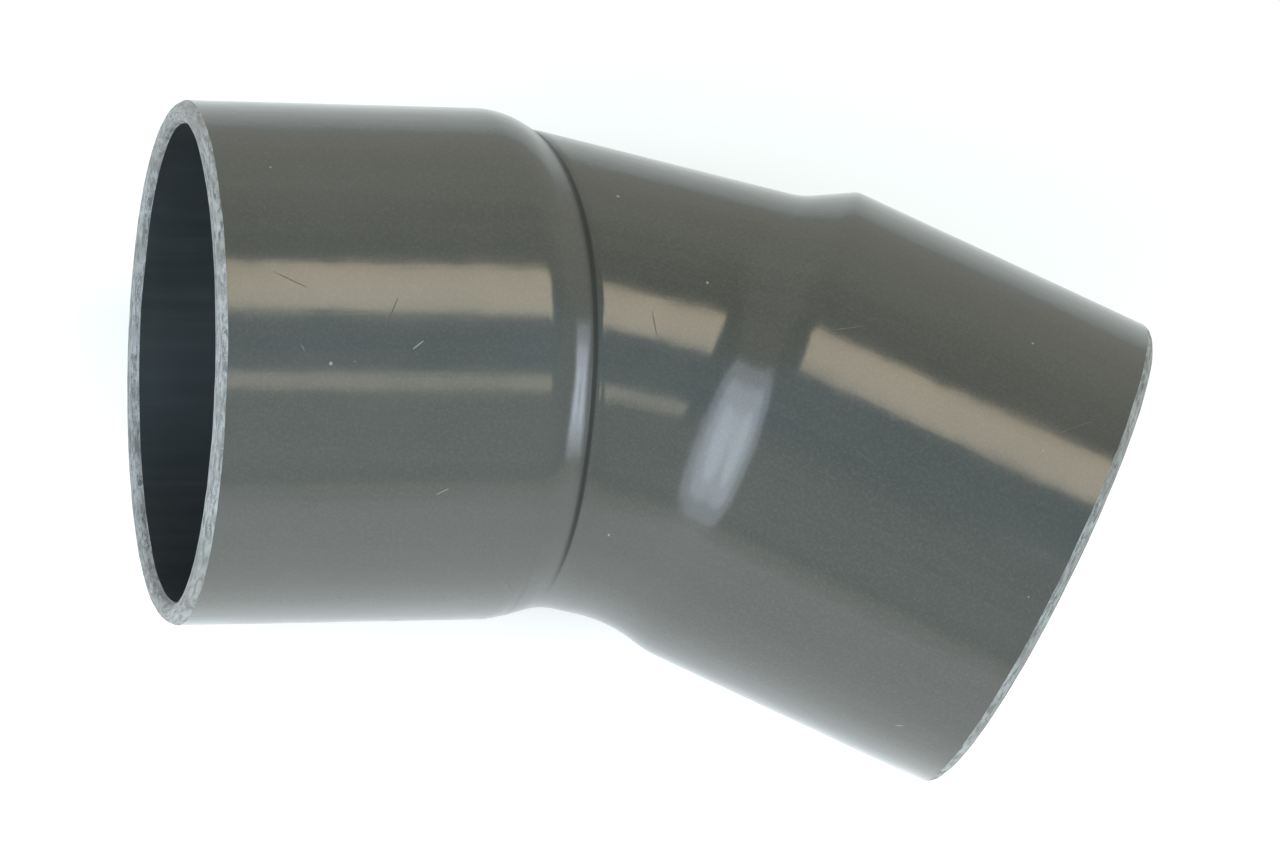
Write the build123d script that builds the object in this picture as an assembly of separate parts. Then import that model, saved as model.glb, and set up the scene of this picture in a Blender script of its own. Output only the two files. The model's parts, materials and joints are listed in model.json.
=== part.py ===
from build123d import *
import math
import os

# A double-socket 30 degree elbow in hot-formed PVC pressure pipe, drawn in millimetres.
# Origin: centre of the inlet's seat, where the inserted pipe ends.  +X runs along the inlet socket's
# axis into the fitting, the fitting bends towards -Y, and the bend plane is the plane Z = 0.

# Pipe
PIPE_OD = 110.0           # outside diameter of the pipe that the fitting is formed from and takes
PIPE_WALL = 5.3           # wall of that pipe, kept in the sockets
SOCKET_CLEARANCE = 0.3    # diameter of a socket's bore over the pipe that it takes

# Bend
BEND_ANGLE = 30.0         # angle between the two sockets' axes, in degrees
LEAD_IN = 5.5             # from a socket's seat to where the middle pipe's axis leaves the socket's
INNER_RUN = 13.5          # bare pipe between the two shoulders, along the inside of the bend

# Sockets
SOCKET_DEPTH = 75.0       # from a mouth to the seat that the inserted pipe stops on
SHOULDER_ANGLE = 29.5     # slope of a shoulder against its socket's axis, in degrees
SHOULDER_SINK = 1.1       # how far a shoulder's end goes in under the surface of the middle pipe
INLET_ROLL = 10.0         # radius over the inlet shoulder's outer edge
OUTLET_ROLL = 3.0         # radius over the outlet shoulder's outer edge
MOUTH_CHAMFER_OUT = 1.7   # chamfer around the outside of a mouth
MOUTH_CHAMFER_IN = 1.9    # lead-in chamfer around the inside of a mouth

# What follows from them
pipe_r = PIPE_OD / 2
waterway_r = pipe_r - PIPE_WALL
bore_r = pipe_r + SOCKET_CLEARANCE / 2
socket_r = bore_r + PIPE_WALL
half_bend = BEND_ANGLE / 2
shoulder_slope = math.tan(math.radians(SHOULDER_ANGLE))
shoulder_start = SOCKET_DEPTH + PIPE_WALL * math.tan(math.radians(SHOULDER_ANGLE / 2))
shoulder_end = shoulder_start + (socket_r - pipe_r + SHOULDER_SINK) / shoulder_slope
shoulder_run = shoulder_end - SOCKET_DEPTH
corner = shoulder_run + INNER_RUN / 2 + pipe_r * math.tan(math.radians(half_bend))
leg = SOCKET_DEPTH + corner
middle_run = 2 * (corner - LEAD_IN) * math.cos(math.radians(half_bend))
reach = 2 * (leg + socket_r)

# Both sockets are drawn along +X from a mouth at the origin, then put in place.  Their axes meet at
# the corner: the outlet is turned about it, with its mouth one leg away.
inlet_place = Location((-SOCKET_DEPTH, 0, 0))
outlet_turn = Location((0, 0, 0), (0, 0, 180 - BEND_ANGLE))
outlet_place = Location((corner, 0, 0)) * outlet_turn * Location((-leg, 0, 0))
middle_place = Location((LEAD_IN, 0, 0)) * Location((0, 0, 0), (0, 0, -half_bend))


def revolved(outline):
    """The solid that an outline in the XY plane sweeps about the X axis."""
    return revolve(make_face(outline), Axis.X)


def socket_envelope(roll):
    """The outside of one socket as a full solid: chamfered mouth, straight wall, rolled shoulder."""
    # The roll is an arc tangent to the straight wall and to the shoulder's slope.
    setback = roll * math.tan(math.radians(SHOULDER_ANGLE / 2))
    turn = math.radians(SHOULDER_ANGLE)
    roll_start = (shoulder_start - setback, socket_r)
    roll_middle = (
        roll_start[0] + roll * math.sin(turn / 2),
        socket_r - roll * (1 - math.cos(turn / 2)),
    )
    roll_end = (
        shoulder_start + setback * math.cos(turn),
        socket_r - setback * math.sin(turn),
    )
    outline = [
        Line((0, 0), (0, socket_r - MOUTH_CHAMFER_OUT)),
        Line((0, socket_r - MOUTH_CHAMFER_OUT), (MOUTH_CHAMFER_OUT, socket_r)),
        Line((MOUTH_CHAMFER_OUT, socket_r), roll_start),
        ThreePointArc(roll_start, roll_middle, roll_end),
        Line(roll_end, (shoulder_end, pipe_r - SHOULDER_SINK)),
        Line((shoulder_end, pipe_r - SHOULDER_SINK), (shoulder_end, 0)),
        Line((shoulder_end, 0), (0, 0)),
    ]
    return revolved(outline)


def socket_hollow():
    """The room inside one socket: lead-in, bore for the pipe, sloped seat down to the waterway."""
    seat_end = SOCKET_DEPTH + (bore_r - waterway_r) / shoulder_slope
    outline = Polyline(
        (-1, 0),
        (-1, bore_r + MOUTH_CHAMFER_IN + 1),
        (MOUTH_CHAMFER_IN, bore_r),
        (SOCKET_DEPTH, bore_r),
        (seat_end, waterway_r),
        (seat_end, 0),
        (-1, 0),
    )
    return revolved(outline)


def beyond(place, distance):
    """The half space that lies further than this distance in from a mouth."""
    block = Box(reach, 2 * reach, 2 * reach, align=(Align.MIN, Align.CENTER, Align.CENTER))
    return place * Location((distance, 0, 0)) * block


def middle_cylinder(radius, start):
    """A cylinder on the middle pipe's axis that starts this far in from both mouths."""
    length = middle_run + 2 * socket_r
    lying = Location((middle_run / 2, 0, 0), (0, 90, 0)) * Cylinder(radius, length)
    return middle_place * lying & beyond(inlet_place, start) & beyond(outlet_place, start)


def elbow_wall():
    """The wall of the whole elbow, outside less inside."""
    outside = (
        inlet_place * socket_envelope(INLET_ROLL)
        + outlet_place * socket_envelope(OUTLET_ROLL)
        + middle_cylinder(pipe_r, shoulder_start)
    )
    inside = (
        inlet_place * socket_hollow()
        + outlet_place * socket_hollow()
        + middle_cylinder(waterway_r, SOCKET_DEPTH)
    )
    return outside - inside


def inlet_socket(wall):
    """The inlet socket, from its mouth to its seat."""
    return wall - beyond(inlet_place, SOCKET_DEPTH)


def inlet_shoulder(wall):
    """The inlet's seat and shoulder, down to the bare pipe."""
    return wall & beyond(inlet_place, SOCKET_DEPTH) - beyond(inlet_place, shoulder_end)


def bend_pipe(wall):
    """The bare pipe between the two shoulders."""
    return wall & beyond(inlet_place, shoulder_end) & beyond(outlet_place, shoulder_end)


def outlet_shoulder(wall):
    """The outlet's seat and shoulder, down to the bare pipe."""
    return wall & beyond(outlet_place, SOCKET_DEPTH) - beyond(outlet_place, shoulder_end)


def outlet_socket(wall):
    """The outlet socket, from its mouth to its seat."""
    return wall - beyond(outlet_place, SOCKET_DEPTH)


os.makedirs("parts", exist_ok=True)
elbow = elbow_wall()
pieces = {
    "inlet_socket": inlet_socket(elbow),
    "inlet_shoulder": inlet_shoulder(elbow),
    "bend_pipe": bend_pipe(elbow),
    "outlet_shoulder": outlet_shoulder(elbow),
    "outlet_socket": outlet_socket(elbow),
}
for name, piece in pieces.items():
    piece.label = name
    export_step(piece, f"parts/{name}.step")
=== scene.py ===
import json
import math

import bpy
import numpy as np
from mathutils import Matrix, Vector


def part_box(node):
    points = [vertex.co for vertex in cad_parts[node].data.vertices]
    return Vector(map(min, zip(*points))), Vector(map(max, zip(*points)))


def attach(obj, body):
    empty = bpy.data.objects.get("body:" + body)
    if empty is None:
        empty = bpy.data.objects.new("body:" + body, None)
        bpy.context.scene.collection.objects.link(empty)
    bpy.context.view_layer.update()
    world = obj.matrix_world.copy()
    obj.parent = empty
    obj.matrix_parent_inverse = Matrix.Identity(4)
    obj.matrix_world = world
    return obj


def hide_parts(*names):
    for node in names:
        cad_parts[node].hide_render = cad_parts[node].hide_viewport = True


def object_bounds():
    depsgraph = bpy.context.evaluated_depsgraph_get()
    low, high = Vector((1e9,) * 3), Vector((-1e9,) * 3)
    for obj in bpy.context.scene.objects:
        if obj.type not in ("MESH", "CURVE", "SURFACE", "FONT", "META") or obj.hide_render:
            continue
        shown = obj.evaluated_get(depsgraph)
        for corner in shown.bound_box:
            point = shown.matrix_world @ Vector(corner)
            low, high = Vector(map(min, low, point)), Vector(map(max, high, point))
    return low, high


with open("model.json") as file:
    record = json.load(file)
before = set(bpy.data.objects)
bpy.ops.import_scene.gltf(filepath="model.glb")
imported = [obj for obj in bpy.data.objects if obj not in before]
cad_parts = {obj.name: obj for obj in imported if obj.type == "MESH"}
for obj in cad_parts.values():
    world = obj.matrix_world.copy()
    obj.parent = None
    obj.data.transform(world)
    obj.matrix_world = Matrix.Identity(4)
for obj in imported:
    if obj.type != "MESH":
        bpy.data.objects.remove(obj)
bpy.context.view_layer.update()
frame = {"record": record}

MM = 0.001


# ---------------------------------------------------------------- sizes, all from the frame

mounts = {mount["name"]: mount for mount in frame["record"]["mounts"]}
inlet_out = np.array(mounts["inlet_bore"]["axis"], float)
outlet_out = np.array(mounts["outlet_bore"]["axis"], float)
inlet_seat = np.array(mounts["inlet_bore"]["pos_m"], float)
outlet_seat = np.array(mounts["outlet_bore"]["pos_m"], float)

BORE_R = mounts["inlet_bore"]["dims"]["r_mm"] * MM
SOCKET_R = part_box("inlet_socket")[1].z
PIPE_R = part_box("bend_pipe")[1].z
WALL = SOCKET_R - BORE_R
WATERWAY_R = PIPE_R - WALL
SOCKET_DEPTH = inlet_seat[0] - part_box("inlet_socket")[0].x
SHOULDER_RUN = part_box("inlet_shoulder")[1].x - inlet_seat[0]
BEND = math.acos(float(np.dot(-inlet_out, outlet_out)))

# The two sockets' axes meet at the corner, and a single arc joins their seats.
CORNER = abs(outlet_seat[1]) / math.sin(BEND)
ARC_R = CORNER / math.tan(BEND / 2)

# What the real fitting has beyond the frame's plain solids
CHAMFER_OUT = 1.7 * MM
CHAMFER_IN = 1.6 * MM

# Rings and the spokes that find them
AROUND = 384                        # points in one ring
SPOKE_START = 0.6 * WATERWAY_R      # always inside the wall's surfaces
SPOKE_END = 1.3 * SOCKET_R          # always outside them
HALVINGS = 36
TURN = np.linspace(0, 2 * math.pi, AROUND, endpoint=False)
UP = np.array([0.0, 0.0, 1.0])


# ---------------------------------------------------------------- shape of the fitting

def unit(vector):
    """The same direction, one long."""
    return vector / np.linalg.norm(vector)


# Angles around the pipe start on the outside of the bend, and 90 degrees is straight up.
SHOULDER_SLOPE = 29.5               # against the socket's axis, in degrees

# How the formed pipe strays from a true one: where a drift points, sideways and half as far up
DRIFT = unit(np.array([0.0, 0.87, 0.49]))

INLET = {
    "seat": inlet_seat,
    "out": inlet_out,
    "mouth": inlet_seat + inlet_out * SOCKET_DEPTH,
    "lead": 7.7 * MM,               # seat to where the middle pipe's axis leaves the socket's
    "rise": (50, 115),              # angles where the shoulder changes towards the inside of the bend
    "fall": (150, 200),
    "roll": (20 * MM, 14 * MM),     # radius over the shoulder's edge, outside and inside of the bend
    "delay": (0.0, 2.5 * MM),       # how much further along the shoulder starts
    "slope": (SHOULDER_SLOPE, SHOULDER_SLOPE),
    "gain": (-0.12 * MM, -0.12 * MM),   # wider or narrower than true, at the mouth and the seat
    "drift": (0.5 * MM, -0.25 * MM),    # off the true axis, at the mouth and the seat
    "blend": (0.4 * MM, 7 * MM),    # softness of the valley, around most of it and inside the bend
    "cut": (0.005, 0.051),          # slope of the sawn end, across the bend and upwards
    "seed": 11,
}
OUTLET = {
    "seat": outlet_seat,
    "out": outlet_out,
    "mouth": outlet_seat + outlet_out * SOCKET_DEPTH,
    "lead": 3.6 * MM,
    "rise": (45, 90),
    "fall": (270, 315),
    "roll": (4 * MM, 20 * MM),
    "delay": (0.0, 0.4 * MM),
    "slope": (SHOULDER_SLOPE, 19.0),
    "gain": (0.3 * MM, 0.1 * MM),
    "drift": (0.0, -0.1 * MM),
    "blend": (1.0 * MM, 6 * MM),
    "cut": (-0.008, -0.0115),
    "seed": 23,
}
SHOULDER_START = SOCKET_DEPTH + WALL * math.tan(math.radians(SHOULDER_SLOPE / 2))
INSIDE_BLEND = 3 * MM               # softness of the valleys in the bore

# The fold where the inlet's shoulder meets the middle pipe, and the painted shade along it
CREASE_DEPTH = 0.4 * MM
CREASE_WIDTH = 0.5 * MM
CREASE_RISE = (0, 40)               # angles where it begins
CREASE_FALL = (125, 185)            # and where it runs out
SHADE_UP = 1.1 * MM                 # reach of its painted shade, dark and dull, up the shoulder
SHADE_BEYOND = 0.25 * MM            # and over the middle pipe
SHADE_FALL = (150, 200)
OUTLET_CLEAR = 1 * MM               # the fold stays this far outside the outlet's shoulder

MIDDLE_GAIN = -0.2 * MM
MIDDLE_DRIFT = -0.18 * MM
middle_start = INLET["seat"] - INLET["out"] * INLET["lead"] + DRIFT * MIDDLE_DRIFT
middle_end = OUTLET["seat"] - OUTLET["out"] * OUTLET["lead"] + DRIFT * MIDDLE_DRIFT
middle_way = unit(middle_end - middle_start)


def soft_min(a, b, width):
    """The smaller of two fields, rounded where they cross within this width."""
    near = np.maximum(width - np.abs(a - b), 0) / width
    return np.minimum(a, b) - near * near * width / 4


def rolled_profile(run, start, roll, slope):
    """Drop in radius along a straight wall that turns down a slope over a rolled edge."""
    setback = roll * np.tan(slope / 2)
    begin = start - setback
    end = start + setback * np.cos(slope)
    on_roll = np.clip(run - begin, 0, roll * np.sin(slope))
    return roll - np.sqrt(roll * roll - on_roll * on_roll) + np.maximum(run - end, 0) * np.tan(slope)


def over_angle(turn, rise, fall):
    """1 between two angles from the outside of the bend over the top, easing to 0 beyond."""
    degrees = np.degrees(turn) % 360
    up = np.clip((degrees - rise[0]) / (rise[1] - rise[0]), 0, 1)
    down = np.clip((fall[1] - degrees) / (fall[1] - fall[0]), 0, 1)
    both = np.minimum(up, down)
    return both * both * (3 - 2 * both)


def socket_field(points, socket, radius, start, turn):
    """About the distance outside one socket's wall and shoulder."""
    out = socket["out"]
    inside_bend = over_angle(turn, socket["rise"], socket["fall"])

    def by_side(key):
        """One of the socket's values, from the outside to the inside of the bend."""
        outer, inner = socket[key]
        return outer + (inner - outer) * inside_bend

    run = (points - socket["mouth"]) @ -out
    share = np.clip(run / SOCKET_DEPTH, 0, 1)
    drift = socket["drift"][0] * (1 - share) + socket["drift"][1] * share
    gain = socket["gain"][0] * (1 - share) + socket["gain"][1] * share
    off = points - socket["mouth"] + run[..., None] * out - drift[..., None] * DRIFT
    distance = np.linalg.norm(off - (off @ out)[..., None] * out, axis=-1)
    slope = np.radians(by_side("slope"))
    drop = rolled_profile(run, start + by_side("delay"), by_side("roll"), slope)
    return (distance - radius - gain + drop) * np.cos(slope / 2)


def middle_field(points, radius, start):
    """Distance outside the middle pipe's wall, fading out as it enters the sockets."""
    run = (points - middle_start) @ middle_way
    off = points - middle_start - run[..., None] * middle_way
    in_inlet = start - (points - INLET["mouth"]) @ -inlet_out
    in_outlet = start - (points - OUTLET["mouth"]) @ -outlet_out
    inside_socket = np.maximum(np.maximum(in_inlet, in_outlet), 0)
    return np.linalg.norm(off, axis=-1) - radius - MIDDLE_GAIN + inside_socket


def blend_width(socket, turn):
    """Softness of a valley by the angle around the pipe: softest on the inside of the bend."""
    inside = np.clip(-np.cos(turn), 0, 1) ** 2
    return socket["blend"][0] + (socket["blend"][1] - socket["blend"][0]) * inside


def outside_parts(points, turn):
    """The fields of the inlet, the middle pipe and the outlet, each on its own."""
    inlet = socket_field(points, INLET, SOCKET_R, SHOULDER_START, turn)
    middle = middle_field(points, PIPE_R, SHOULDER_START)
    outlet = socket_field(points, OUTLET, SOCKET_R, SHOULDER_START, turn)
    return inlet, middle, outlet


def outside_field(points, turn):
    """About the distance outside the fitting, with its soft valleys and its fold."""
    inlet, middle, outlet = outside_parts(points, turn)
    joined = soft_min(
        soft_min(inlet, middle, blend_width(INLET, turn)), outlet, blend_width(OUTLET, turn)
    )
    nearness = ((inlet - middle) / CREASE_WIDTH) ** 2
    fold = CREASE_DEPTH * np.exp(-nearness) * over_angle(turn, CREASE_RISE, CREASE_FALL)
    return joined + np.where(outlet > joined + OUTLET_CLEAR, fold, 0)


def painted_crease_shade(points, turn):
    """Mask of the painted shade: 1 in the fold at the foot of the inlet's shoulder, fading up the slope
    and fast beyond it.
    """
    inlet, middle, outlet = outside_parts(points, turn)
    past = inlet - middle
    width = np.where(past < 0, SHADE_UP, SHADE_BEYOND)
    shade = np.exp(-((past / width) ** 2)) * over_angle(turn, CREASE_RISE, SHADE_FALL)
    return np.where(outlet > np.minimum(inlet, middle) + OUTLET_CLEAR, shade, 0)


def inside_field(points, turn):
    """About the distance outside the bore and the waterway."""
    inlet = socket_field(points, INLET, BORE_R, SOCKET_DEPTH, turn)
    outlet = socket_field(points, OUTLET, BORE_R, SOCKET_DEPTH, turn)
    middle = middle_field(points, WATERWAY_R, SOCKET_DEPTH)
    return soft_min(soft_min(inlet, middle, INSIDE_BLEND), outlet, INSIDE_BLEND)


def centre_line(along):
    """Centre and sideways direction of the section at each place along the fitting."""
    way = -inlet_out
    inner_side = np.array([way[1], -way[0], 0.0])
    arc_centre = inlet_seat + inner_side * ARC_R
    angle = np.clip((along - SOCKET_DEPTH) / ARC_R, 0, BEND)[:, None]
    inward = np.cos(angle) * inner_side - np.sin(angle) * way
    forward = np.cos(angle) * way + np.sin(angle) * inner_side
    before = np.minimum(along - SOCKET_DEPTH, 0)
    after = np.maximum(along - SOCKET_DEPTH - ARC_R * BEND, 0)
    centres = arc_centre - inward * ARC_R + forward * (before + after)[:, None]
    return centres, -inward


def skin(field, along):
    """One ring of points per place, found by closing in on the field's zero along spokes."""
    centres, sideways = centre_line(along)
    spokes = np.cos(TURN)[None, :, None] * sideways[:, None, :] + np.sin(TURN)[None, :, None] * UP
    low = np.full(spokes.shape[:2], SPOKE_START)
    high = np.full(spokes.shape[:2], SPOKE_END)
    for _ in range(HALVINGS):
        middle = (low + high) / 2
        outside = field(centres[:, None, :] + middle[..., None] * spokes, TURN[None, :]) > 0
        high = np.where(outside, middle, high)
        low = np.where(outside, low, middle)
    return centres[:, None, :] + low[..., None] * spokes


# ---------------------------------------------------------------- sawn ends

def waves(turn, seed, first, last, height):
    """A closed wavy line around the end, the same on every run."""
    draw = np.random.default_rng(seed)
    total = np.zeros_like(turn)
    for count in range(first, last):
        total += draw.normal() / math.sqrt(count) * np.cos(count * turn + draw.uniform(0, 2 * math.pi))
    return total / np.abs(total).max() * height


def across_bend(socket):
    """Unit vector across the socket, away from the inside of the bend."""
    out = socket["out"]
    return np.array([abs(out[1]), abs(out[0]), 0.0])


EDGE_SOFTNESS = 0.35                # how far a worn chamfer's edges are rounded
EDGE_WAVE = 0.08 * MM               # unevenness of the chamfers
FACE_WAVE = 0.05 * MM               # unevenness of the sawn face
FACE_TILT = 0.2 * MM


def rim_rings(socket):
    """Rings over a sawn end, from the outside skin to the bore, with worn uneven chamfers."""
    out = socket["out"]
    gain = socket["gain"][0]
    outer_r = SOCKET_R + gain
    bore_r = BORE_R + gain
    chamfer_out = CHAMFER_OUT + waves(TURN, socket["seed"], 3, 24, EDGE_WAVE)
    chamfer_in = CHAMFER_IN + waves(TURN, socket["seed"] + 1, 3, 24, EDGE_WAVE)
    face = waves(TURN, socket["seed"] + 2, 9, 60, FACE_WAVE)
    soft = EDGE_SOFTNESS
    level = np.zeros(AROUND)
    rings = [
        (chamfer_out * (1 + soft), outer_r - level),
        (chamfer_out * (1 - soft), outer_r - chamfer_out * soft),
        (chamfer_out * soft, outer_r - chamfer_out * (1 - soft)),
        (face, outer_r - chamfer_out * (1 + soft)),
    ]
    width = outer_r - bore_r
    for share in (0.42, 0.5, 0.58):
        rings.append((face + (share - 0.5) * FACE_TILT, outer_r - share * width + level))
    rings += [
        (face, bore_r + chamfer_in * (1 + soft)),
        (chamfer_in * soft, bore_r + chamfer_in * (1 - soft)),
        (chamfer_in * (1 - soft), bore_r + chamfer_in * soft),
        (chamfer_in * (1 + soft), bore_r + level),
    ]
    sideways = np.cos(TURN)[:, None] * across_bend(socket) + np.sin(TURN)[:, None] * UP
    centre = socket["mouth"] + DRIFT * socket["drift"][0]
    return np.array([
        centre - out * inset[:, None] + radius[:, None] * sideways
        for inset, radius in rings
    ])


def lean_cut(rings, socket):
    """Leans the sawn end out of square, fading out half way down the socket."""
    off = rings - socket["mouth"]
    run = off @ -socket["out"]
    lean = socket["cut"][0] * (off @ across_bend(socket)) + socket["cut"][1] * off[..., 2]
    fade = np.clip(1 - run / (SOCKET_DEPTH / 2), 0, 1)
    fade = np.where(run < SOCKET_DEPTH, fade * fade, 0)
    return rings - socket["out"] * (lean * fade)[..., None]


# ---------------------------------------------------------------- the skin, cut into its five lengths

LENGTH = 2 * SOCKET_DEPTH + ARC_R * BEND
CUTS = [
    0.0,
    SOCKET_DEPTH,
    SOCKET_DEPTH + SHOULDER_RUN,
    LENGTH - SOCKET_DEPTH - SHOULDER_RUN,
    LENGTH - SOCKET_DEPTH,
    LENGTH,
]
NODES = ["inlet_socket", "inlet_shoulder", "bend_pipe", "outlet_shoulder", "outlet_socket"]


def places(start, end, spacing):
    """Even places from start to end, about this far apart."""
    return np.linspace(start, end, max(2, round((end - start) / spacing) + 1))


def segment_places(index, inside):
    """Places for one length's rings: close together wherever the wall curves."""
    start, end = CUTS[index], CUTS[index + 1]
    fine = 1.4 * MM if inside else 0.8 * MM
    finest = 1.4 * MM if inside else 0.35 * MM
    coarse = 9 * MM if inside else 6 * MM
    close = 12 * MM                 # how far from a seat the wall of a socket curves
    near_mouth = 5 * MM             # where the rings of the sawn end take over
    by_fold = 5 * MM
    runs = {
        0: [(start + near_mouth, end - close, coarse), (end - close, end, fine)],
        1: [(start, start + by_fold, fine), (start + by_fold, end, finest)],
        2: [(start, start + by_fold, finest), (start + by_fold, end, fine)],
        3: [(start, end, fine)],
        4: [(start, start + close, fine), (start + close, end - near_mouth, coarse)],
    }[index]
    return np.unique(np.concatenate([places(*run) for run in runs]).round(9))


def leaned(rings):
    """Rings with both sawn ends leaned out of square."""
    return lean_cut(lean_cut(rings, INLET), OUTLET)


def across_wall(socket):
    """Distance gone across the wall at each ring of a sawn end, as a place beyond the mouth."""
    rings = rim_rings(socket)
    off = rings[:, 0] - socket["mouth"] - DRIFT * socket["drift"][0]
    return (off @ across_bend(socket)) - SOCKET_R


def length_rings(index):
    """Closed loop of rings around one length of wall, and the kind of each strip between them."""
    outer_at = segment_places(index, False)
    inner_at = segment_places(index, True)
    outer = skin(outside_field, outer_at)
    inner = skin(inside_field, inner_at)
    count = len(rim_rings(INLET))
    kinds_out = ["skin"] * (len(outer) - 1)
    kinds_in = ["bore"] * (len(inner) - 1)
    rim_kinds = ["skin"] + ["cut"] * (count - 1) + ["bore"]
    if index == 0:
        # from the seat back along the outside, over the mouth, and down the bore
        rings = np.concatenate([outer[::-1], rim_rings(INLET), inner])
        kinds = kinds_out + rim_kinds + kinds_in + ["joint"]
        along = np.concatenate([outer_at[::-1], across_wall(INLET), inner_at])
        rings = rings[::-1]
        along = along[::-1]
        kinds = kinds[:-1][::-1] + ["joint"]
    elif index == 4:
        rings = np.concatenate([outer, rim_rings(OUTLET), inner[::-1]])
        kinds = kinds_out + rim_kinds + kinds_in + ["joint"]
        along = np.concatenate([outer_at, LENGTH - across_wall(OUTLET), inner_at[::-1]])
    else:
        rings = np.concatenate([outer, inner[::-1]])
        kinds = kinds_out + ["joint"] + kinds_in + ["joint"]
        along = np.concatenate([outer_at, inner_at[::-1]])
    return leaned(rings), kinds, along


def field_normals(field, rings):
    """Unit slope of a field at each point, so that neighbouring lengths shade alike."""
    step = 0.2 * MM
    slope = np.zeros_like(rings)
    for axis in range(3):
        shift = np.zeros(3)
        shift[axis] = step
        slope[..., axis] = field(rings + shift, TURN[None, :]) - field(rings - shift, TURN[None, :])
    return slope / np.linalg.norm(slope, axis=-1, keepdims=True)


def strip_normals(first, second):
    """Normals across a flat-sided strip of a sawn end."""
    around = np.roll(first, -1, axis=0) - np.roll(first, 1, axis=0)
    normals = np.cross(around, second - first)
    return normals / np.linalg.norm(normals, axis=-1, keepdims=True)


def build_length(index):
    """One closed length of the fitting, with the shading of the whole skin."""
    rings, kinds, along = length_rings(index)
    count = len(rings)
    faces, loop_normals, face_kinds = [], [], []
    outward = field_normals(outside_field, rings)
    inward = -field_normals(inside_field, rings)
    for i in range(count):
        j = (i + 1) % count
        if kinds[i] == "skin":
            near, far = outward[i], outward[j]
        elif kinds[i] == "bore":
            near, far = inward[i], inward[j]
        else:
            near = strip_normals(rings[i], rings[j])
            far = near
        for k in range(AROUND):
            m = (k + 1) % AROUND
            faces.append((i * AROUND + k, i * AROUND + m, j * AROUND + m, j * AROUND + k))
            loop_normals += [near[k], near[m], far[m], far[k]]
            face_kinds.append(kinds[i])
    mesh = bpy.data.meshes.new(NODES[index] + "_wall")
    mesh.from_pydata(rings.reshape(-1, 3).tolist(), [], faces)
    mesh.polygons.foreach_set("use_smooth", [True] * len(mesh.polygons))
    slots = {"skin": 0, "joint": 0, "bore": 1, "cut": 2}
    mesh.polygons.foreach_set("material_index", [slots[kind] for kind in face_kinds])
    pipe = np.zeros((count, AROUND, 3))
    pipe[..., 0] = along[:, None]
    pipe[..., 1] = SOCKET_R * np.cos(TURN)
    pipe[..., 2] = SOCKET_R * np.sin(TURN)
    layer = mesh.attributes.new("pipe", "FLOAT_VECTOR", "POINT")
    layer.data.foreach_set("vector", pipe.reshape(-1))
    # The mask of the fold's painted shade, kept on each point for the skin's material
    shade = mesh.attributes.new("crease", "FLOAT", "POINT")
    shade.data.foreach_set("value", painted_crease_shade(rings, TURN[None, :]).reshape(-1))
    mesh.normals_split_custom_set([tuple(normal) for normal in loop_normals])
    mesh.update()
    piece = bpy.data.objects.new(NODES[index] + "_wall", mesh)
    bpy.context.scene.collection.objects.link(piece)
    return piece


# ---------------------------------------------------------------- materials

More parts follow.
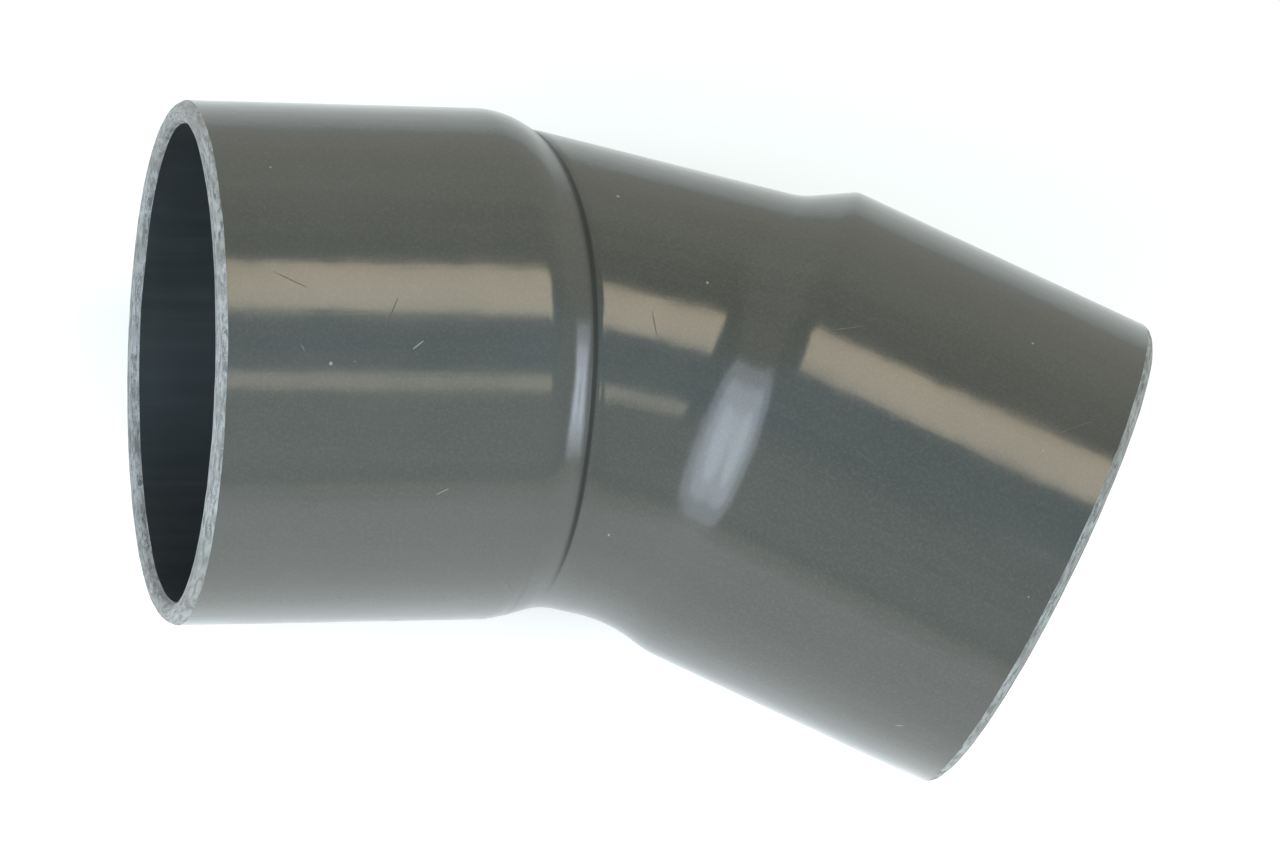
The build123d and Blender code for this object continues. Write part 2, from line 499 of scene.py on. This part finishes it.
class Nodes:
    """Short hand for wiring one material's nodes."""

    def __init__(self, name):
        """A new material with its shader, ready to be wired."""
        self.material = bpy.data.materials.new(name)
        self.material.use_nodes = True
        self.tree = self.material.node_tree
        self.shader = self.tree.nodes["Principled BSDF"]

    def put(self, value, socket):
        """Links another node's output to a socket, or sets a constant straight on it."""
        if isinstance(value, bpy.types.NodeSocket):
            self.tree.links.new(value, socket)
        elif value is not None:
            socket.default_value = value

    def node(self, kind, inputs=None, **settings):
        """A new node with its settings and inputs."""
        made = self.tree.nodes.new(kind)
        for key, value in settings.items():
            setattr(made, key, value)
        for key, value in (inputs or {}).items():
            self.put(value, made.inputs[key])
        return made

    def math(self, operation, a, b=0.5, c=0.5):
        """The result of a sum on numbers."""
        return self.node("ShaderNodeMath", {0: a, 1: b, 2: c}, operation=operation).outputs[0]

    def vector(self, operation, a, b=(0, 0, 0)):
        """A node that does a sum on vectors."""
        return self.node("ShaderNodeVectorMath", {0: a, 1: b}, operation=operation)

    def ramp(self, value, low, high, to_low=0.0, to_high=1.0):
        """A smooth step from one value to another."""
        made = self.node("ShaderNodeMapRange", {
            "Value": value, "From Min": low, "From Max": high, "To Min": to_low, "To Max": to_high,
        }, interpolation_type="SMOOTHSTEP")
        return made.outputs["Result"]

    def mix(self, factor, a, b):
        """A colour between two others."""
        made = self.node("ShaderNodeMix", data_type="RGBA")
        self.put(factor, made.inputs[0])
        self.put(a, made.inputs[6])
        self.put(b, made.inputs[7])
        return made.outputs[2]

    def noise(self, vector, scale, detail=4.0, rough=0.55, distortion=0.0):
        """Cloudy noise, from 0 to 1."""
        return self.node("ShaderNodeTexNoise", {
            "Vector": vector, "Scale": scale, "Detail": detail, "Roughness": rough,
            "Distortion": distortion,
        }).outputs[0]

    def pipe(self, stretch=(1.0, 1.0, 1.0)):
        """Place on the straightened pipe: along it, and around it as a circle, in metres."""
        place = self.node("ShaderNodeAttribute", attribute_name="pipe").outputs["Vector"]
        return self.vector("MULTIPLY", place, stretch).outputs[0]

    def scratches(self, place, scale, width, length, share):
        """Short straight marks at random places and angles, from 0 to 1."""
        cells = self.node("ShaderNodeTexVoronoi", {"Vector": place, "Scale": scale})
        off = self.vector("SUBTRACT", place, cells.outputs["Position"]).outputs[0]
        tilt = self.vector("SUBTRACT", cells.outputs["Color"], (0.5, 0.5, 0.5)).outputs[0]
        normal = self.vector("NORMALIZE", tilt).outputs[0]
        beside = self.math("ABSOLUTE", self.vector("DOT_PRODUCT", off, normal).outputs["Value"])
        reach = self.vector("LENGTH", off).outputs["Value"]
        line = self.ramp(beside, width, width * 0.3)
        ends = self.ramp(reach, length, length * 0.5)
        parts = self.node("ShaderNodeSeparateColor", {0: cells.outputs["Color"]})
        chosen = self.math("LESS_THAN", parts.outputs[2], share)
        return self.math("MULTIPLY", self.math("MULTIPLY", line, ends), chosen)

    def specks(self, place, scale, size, share):
        """Small round marks at random places, from 0 to 1."""
        cells = self.node("ShaderNodeTexVoronoi", {"Vector": place, "Scale": scale})
        spot = self.ramp(cells.outputs["Distance"], size, size * 0.5)
        parts = self.node("ShaderNodeSeparateColor", {0: cells.outputs["Color"]})
        return self.math("MULTIPLY", spot, self.math("LESS_THAN", parts.outputs[0], share))

    def bump(self, height, strength, distance, normal=None):
        """A normal that follows a height, on top of another normal if given."""
        made = self.node("ShaderNodeBump", {"Height": height, "Strength": strength, "Distance": distance})
        self.put(normal, made.inputs["Normal"])
        return made.outputs["Normal"]


# Colours of the plastic, from the skin inwards
SKIN_DARK = (0.046, 0.047, 0.040, 1)
SKIN_PALE = (0.053, 0.054, 0.048, 1)
DIE_LINE = (0.062, 0.061, 0.053, 1)
SKIN_GRAIN = (0.075, 0.075, 0.068, 1)
FORMED_TINT = (0.025, 0.025, 0.02, 1)
SOCKET_TINT = (0.085, 0.088, 0.082, 1)
FINE_SCRATCH = (0.020, 0.020, 0.018, 1)
DEEP_SCRATCH = (0.016, 0.015, 0.013, 1)
PALE_NICK = (0.30, 0.30, 0.28, 1)
SPECK = (0.33, 0.31, 0.26, 1)
# Painted shade that darkens the fold at the foot of the inlet's shoulder
FOLD_PAINTED_SHADE = (0.020, 0.021, 0.019, 1)
# Bore colours are set far darker than the skin's: painted shade inside the bore
BORE_SHADE_DARK = (0.015, 0.019, 0.020, 1)
BORE_SHADE_PALE = (0.022, 0.027, 0.028, 1)
BORE_SHADE_LINE = (0.035, 0.041, 0.041, 1)
BORE_SHADE_SPECK = (0.15, 0.16, 0.16, 1)
CUT_DARK = (0.065, 0.07, 0.067, 1)
CUT_PALE = (0.27, 0.28, 0.275, 1)
CUT_TORN = (0.36, 0.37, 0.37, 1)
CUT_PATCH = (0.13, 0.13, 0.115, 1)

# Where each kind of mark takes its random places from
DEEP_PLACE = (0.37, 0.11, 0.53)
NICK_PLACE = (0.71, 0.29, 0.17)

# The inlet's socket is paler up to here along the fitting, and the rest is darker
PALE_UNTIL = 0.070
DARK_FROM = 0.095


def moulded_pvc():
    """Semi-gloss grey pipe skin: faint mottling, die lines along it, scuffs and specks, and painted shade
    in the fold.
    """
    n = Nodes("pvc_skin")
    place = n.pipe()
    clouds = n.noise(place, scale=22, detail=5, rough=0.6)
    streaks = n.noise(n.pipe((0.06, 1, 1)), scale=260, detail=3, rough=0.6)
    grain = n.noise(place, scale=1500, detail=2, rough=0.6)
    base = n.mix(n.ramp(clouds, 0.3, 0.7), SKIN_DARK, SKIN_PALE)
    base = n.mix(n.ramp(streaks, 0.35, 0.75, to_high=0.35), base, DIE_LINE)
    base = n.mix(n.ramp(grain, 0.4, 0.75, to_high=0.5), base, SKIN_GRAIN)

    deep_place = n.vector("ADD", place, DEEP_PLACE).outputs[0]
    nick_place = n.vector("ADD", place, NICK_PLACE).outputs[0]
    fine = n.scratches(place, scale=70, width=0.09 * MM, length=5 * MM, share=0.35)
    deep = n.scratches(deep_place, scale=38, width=0.12 * MM, length=4.5 * MM, share=0.20)
    pale = n.scratches(nick_place, scale=60, width=0.16 * MM, length=1.8 * MM, share=0.5)
    specks = n.specks(place, scale=190, size=0.10, share=0.05)

    along = n.node("ShaderNodeSeparateXYZ", {0: place}).outputs[0]
    in_inlet = n.ramp(along, DARK_FROM, PALE_UNTIL, to_high=0.55)
    formed = n.mix(0.12, base, FORMED_TINT)
    socket = n.mix(0.2, base, SOCKET_TINT)
    base = n.mix(in_inlet, formed, socket)
    base = n.mix(n.math("MULTIPLY", fine, 0.25), base, FINE_SCRATCH)
    base = n.mix(n.math("MULTIPLY", deep, 0.5), base, DEEP_SCRATCH)
    base = n.mix(n.math("MULTIPLY", pale, 0.45), base, PALE_NICK)
    base = n.mix(n.math("MULTIPLY", specks, 0.5), base, SPECK)
    # Painted shade in the fold: a darker colour and a weaker reflection there, and a rougher finish
    crease = n.node("ShaderNodeAttribute", attribute_name="crease").outputs["Fac"]
    base = n.mix(n.math("MULTIPLY", crease, 0.6), base, FOLD_PAINTED_SHADE)
    n.put(base, n.shader.inputs["Base Color"])
    gloss = n.ramp(crease, 0.15, 0.8, to_low=0.5, to_high=0.08)
    n.put(gloss, n.shader.inputs["Specular IOR Level"])

    mottle = n.noise(place, scale=60, detail=4, rough=0.6)
    cloudy = n.ramp(mottle, 0.3, 0.7, to_low=0.125, to_high=0.175)
    marks = n.math("MAXIMUM", n.math("MAXIMUM", fine, deep), n.math("MAXIMUM", pale, specks))
    marked = n.math("ADD", cloudy, n.math("MULTIPLY", marks, 0.3))
    rough = n.math("ADD", marked, n.math("MULTIPLY", crease, 0.25))
    n.put(rough, n.shader.inputs["Roughness"])

    peel = n.bump(n.noise(place, scale=120, detail=2, rough=0.5), strength=0.03, distance=2 * MM)
    lines = n.bump(streaks, strength=0.05, distance=0.4 * MM, normal=peel)
    sunk = n.math("SUBTRACT", 1.0, marks)
    scored = n.bump(sunk, strength=0.25, distance=0.1 * MM, normal=lines)
    n.put(scored, n.shader.inputs["Normal"])
    return n.material


def bore_pvc():
    """Inside face: the same plastic, duller, with its colours darkened as painted shade inside the bore,
    and lines along the bore.
    """
    n = Nodes("pvc_bore")
    place = n.pipe()
    clouds = n.noise(place, scale=18, detail=4, rough=0.6)
    streaks = n.noise(n.pipe((0.05, 1, 1)), scale=300, detail=3, rough=0.6)
    specks = n.specks(place, scale=170, size=0.10, share=0.04)
    base = n.mix(n.ramp(clouds, 0.3, 0.7), BORE_SHADE_DARK, BORE_SHADE_PALE)
    base = n.mix(n.ramp(streaks, 0.4, 0.8, to_high=0.35), base, BORE_SHADE_LINE)
    base = n.mix(n.math("MULTIPLY", specks, 0.4), base, BORE_SHADE_SPECK)
    n.put(base, n.shader.inputs["Base Color"])
    mottle = n.noise(place, scale=50, detail=4, rough=0.6)
    # Hard-edged blotches showed in the bore when part of this was below 0.28
    rough = n.ramp(mottle, 0.3, 0.7, to_low=0.29, to_high=0.38)
    n.put(rough, n.shader.inputs["Roughness"])
    n.put(n.bump(streaks, strength=0.12, distance=0.5 * MM), n.shader.inputs["Normal"])
    return n.material


def sawn_pvc():
    """Cut face: whitened plastic with fibrous marks that run round the end."""
    n = Nodes("pvc_cut")
    place = n.pipe()
    fibres = n.noise(n.pipe((1.0, 0.10, 0.10)), scale=2400, detail=5, rough=0.7, distortion=0.6)
    torn = n.noise(place, scale=900, detail=5, rough=0.75, distortion=1.0)
    patches = n.noise(place, scale=110, detail=4, rough=0.65)
    base = n.mix(n.ramp(fibres, 0.36, 0.62), CUT_DARK, CUT_PALE)
    base = n.mix(n.ramp(torn, 0.5, 0.72, to_high=0.7), base, CUT_TORN)
    base = n.mix(n.ramp(patches, 0.4, 0.7, to_high=0.65), base, CUT_PATCH)
    n.put(base, n.shader.inputs["Base Color"])
    rough = n.ramp(torn, 0.3, 0.7, to_low=0.45, to_high=0.75)
    n.put(rough, n.shader.inputs["Roughness"])
    grooves = n.bump(fibres, strength=0.5, distance=0.3 * MM)
    rag = n.bump(torn, strength=0.4, distance=0.3 * MM, normal=grooves)
    n.put(rag, n.shader.inputs["Normal"])
    return n.material


finishes = [moulded_pvc(), bore_pvc(), sawn_pvc()]
for index, node in enumerate(NODES):
    piece = build_length(index)
    for finish in finishes:
        piece.data.materials.append(finish)
    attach(piece, "root")
    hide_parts(node)

# ---------------------------------------------------------------- stage and light

PANEL_DISTANCE = 3.0
WINDOW_SHARES = (1.0, 0.72, 0.42)   # sizes of the ovals that make up one window
FITTING_MIDDLE = Vector((0.04, -0.02, 0.0))
FLOOR_REACH = 30.0                  # far enough that no horizon shows from low views
FLOOR_COLOUR = (0.74, 0.74, 0.73, 1)
FLOOR_GAP = 0.1 * MM
GLOW_NEAR = -0.12                   # the floor glows up to this Y
GLOW_FAR = 0.10                     # and only a little beyond this one


def make_floor():
    """Plain pale floor just under the fitting, with a painted glow that stands in for light falling from
    the front.
    """
    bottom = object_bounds()[0][2] - FLOOR_GAP
    corners = [
        (x * FLOOR_REACH, y * FLOOR_REACH, bottom)
        for x, y in ((-1, -1), (1, -1), (1, 1), (-1, 1))
    ]
    mesh = bpy.data.meshes.new("floor")
    mesh.from_pydata(corners, [], [(0, 1, 2, 3)])
    floor = bpy.data.objects.new("floor", mesh)
    bpy.context.scene.collection.objects.link(floor)
    n = Nodes("floor")
    n.shader.inputs["Base Color"].default_value = FLOOR_COLOUR
    n.shader.inputs["Roughness"].default_value = 0.9
    n.shader.inputs["Specular IOR Level"].default_value = 0.0
    n.shader.inputs["Emission Color"].default_value = (1, 1, 1, 1)
    # Painted light: the floor glows, brightest at the front, and this glow also lights the fitting
    place = n.node("ShaderNodeTexCoord").outputs["Object"]
    back = n.node("ShaderNodeSeparateXYZ", {0: place}).outputs[1]
    painted_front_glow = n.ramp(back, GLOW_NEAR, GLOW_FAR, to_low=0.75, to_high=0.12)
    n.put(painted_front_glow, n.shader.inputs["Emission Strength"])
    mesh.materials.append(n.material)


# Colours of the room by the sine of the height above the horizon
NEAR_ROOM = [
    (0.0, (1.50, 1.50, 1.45)),
    (0.08, (1.35, 1.35, 1.30)),
    (0.13, (0.62, 0.74, 0.76)),
    (0.30, (0.80, 0.95, 0.93)),
    (0.70, (0.74, 0.90, 0.92)),
    (0.85, (0.38, 0.64, 0.84)),
    (1.0, (0.38, 0.64, 0.84)),
]
FAR_ROOM = [
    (0.0, (0.85, 0.83, 0.76)),
    (0.25, (0.90, 0.88, 0.80)),
    (0.55, (0.95, 0.92, 0.82)),
    (0.80, (0.62, 0.60, 0.50)),
    (0.92, (0.32, 0.33, 0.27)),
    (1.0, (0.32, 0.33, 0.27)),
]
NEAR_UNTIL = -0.15                  # the near half is all there is up to this much towards +Y
FAR_FROM = 0.25                     # and the far half from this much on


def make_room():
    """Soft room light by direction: a near half and a far half, each with its own colours."""
    world = bpy.data.worlds.new("studio")
    world.use_nodes = True
    tree = world.node_tree
    back = tree.nodes["Background"]
    way = tree.nodes.new("ShaderNodeTexCoord").outputs["Generated"]
    parts = tree.nodes.new("ShaderNodeSeparateXYZ")
    tree.links.new(way, parts.inputs[0])

    def ramp(value, stops):
        """A colour by value, through the given stops."""
        made = tree.nodes.new("ShaderNodeValToRGB")
        made.color_ramp.interpolation = "EASE"
        elements = made.color_ramp.elements
        while len(elements) < len(stops):
            elements.new(0.5)
        for element, (at, colour) in zip(elements, stops):
            element.position = at
            element.color = (*colour, 1)
        tree.links.new(value, made.inputs[0])
        return made.outputs[0]

    near = ramp(parts.outputs[2], NEAR_ROOM)
    far = ramp(parts.outputs[2], FAR_ROOM)
    side = tree.nodes.new("ShaderNodeMapRange")
    side.interpolation_type = "SMOOTHSTEP"
    side.inputs["From Min"].default_value = NEAR_UNTIL
    side.inputs["From Max"].default_value = FAR_FROM
    tree.links.new(parts.outputs[1], side.inputs["Value"])
    mix = tree.nodes.new("ShaderNodeMix")
    mix.data_type = "RGBA"
    tree.links.new(side.outputs["Result"], mix.inputs[0])
    tree.links.new(near, mix.inputs[6])
    tree.links.new(far, mix.inputs[7])
    tree.links.new(mix.outputs[2], back.inputs["Color"])
    back.inputs["Strength"].default_value = 1.0
    bpy.context.scene.world = world


def make_panel(name, first, last, width, colour, radiance, shape="RECTANGLE"):
    """A soft light that spans two directions from the fitting, and faces it."""
    first = Vector(first).normalized() * PANEL_DISTANCE
    last = Vector(last).normalized() * PANEL_DISTANCE
    middle = (first + last) / 2
    across = (last - first).normalized()
    facing = middle.normalized()
    light = bpy.data.lights.new(name, "AREA")
    light.shape = shape
    light.size = (last - first).length
    light.size_y = width
    light.color = colour
    fill = 1.0 if shape == "RECTANGLE" else math.pi / 4
    light.energy = radiance * math.pi * light.size * light.size_y * fill
    panel = bpy.data.objects.new(name, light)
    turn = Matrix((across, facing.cross(across), facing)).transposed()
    panel.matrix_world = Matrix.Translation(FITTING_MIDDLE + middle) @ turn.to_4x4()
    panel.visible_camera = False
    bpy.context.scene.collection.objects.link(panel)


def make_window(name, first, last, width, colour, radiance):
    """An oval light that is brightest in its middle."""
    for number, share in enumerate(WINDOW_SHARES):
        near = Vector(first).lerp(Vector(last), (1 - share) / 2)
        far = Vector(last).lerp(Vector(first), (1 - share) / 2)
        strength = radiance / len(WINDOW_SHARES)
        make_panel(f"{name}_{number}", near, far, width * share, colour, strength, "ELLIPSE")


def from_compass(azimuth, elevation):
    """Direction from degrees round from +Y towards +X, and degrees above the floor."""
    a, e = math.radians(azimuth), math.radians(elevation)
    return (math.sin(a) * math.cos(e), math.cos(a) * math.cos(e), math.sin(e))


make_floor()
make_room()
make_panel(
    "skylight", first=(0.035, 0.068, 1.0), last=(0.40, -0.005, 1.0),
    width=1.06, colour=(1.0, 0.84, 0.60), radiance=5.8,
)
make_panel(
    "sky_strip", first=(-0.12, -0.72, 1.0), last=(0.36, -0.81, 1.0),
    width=0.36, colour=(1.0, 0.86, 0.66), radiance=3.0,
)
make_window(
    "window_right", first=from_compass(86, 17), last=from_compass(134, 7),
    width=0.85, colour=(0.78, 0.87, 1.0), radiance=8.5,
)
make_window(
    "window_left", first=from_compass(-72, 57), last=from_compass(-137, 5),
    width=1.9, colour=(0.76, 0.86, 1.0), radiance=8.0,
)
bpy.context.scene.view_settings.view_transform = "Standard"

# ---------------------------------------------------------------- camera

AZIMUTH = math.radians(30.77)       # from +Y towards +X, the way that the camera looks
ELEVATION = math.radians(56.72)     # how far down it looks
ROLL = math.radians(-25.75)
DISTANCE = 0.7259                   # from the point that it aims at
LENS = 85.95
SENSOR = 36
aim = Vector((0.03536, -0.01749, 0.0))
forward = Vector((
    math.sin(AZIMUTH) * math.cos(ELEVATION),
    math.cos(AZIMUTH) * math.cos(ELEVATION),
    -math.sin(ELEVATION),
))
level = forward.cross(Vector((0, 0, 1))).normalized()
upright = level.cross(forward)
right = level * math.cos(ROLL) - upright * math.sin(ROLL)
up = upright * math.cos(ROLL) + level * math.sin(ROLL)
data = bpy.data.cameras.new("camera")
data.sensor_width = SENSOR
data.lens = LENS
camera = bpy.data.objects.new("camera", data)
matrix = Matrix((right, up, -forward)).transposed().to_4x4()
matrix.translation = aim - forward * DISTANCE
camera.matrix_world = matrix
bpy.context.scene.collection.objects.link(camera)
bpy.context.scene.camera = camera
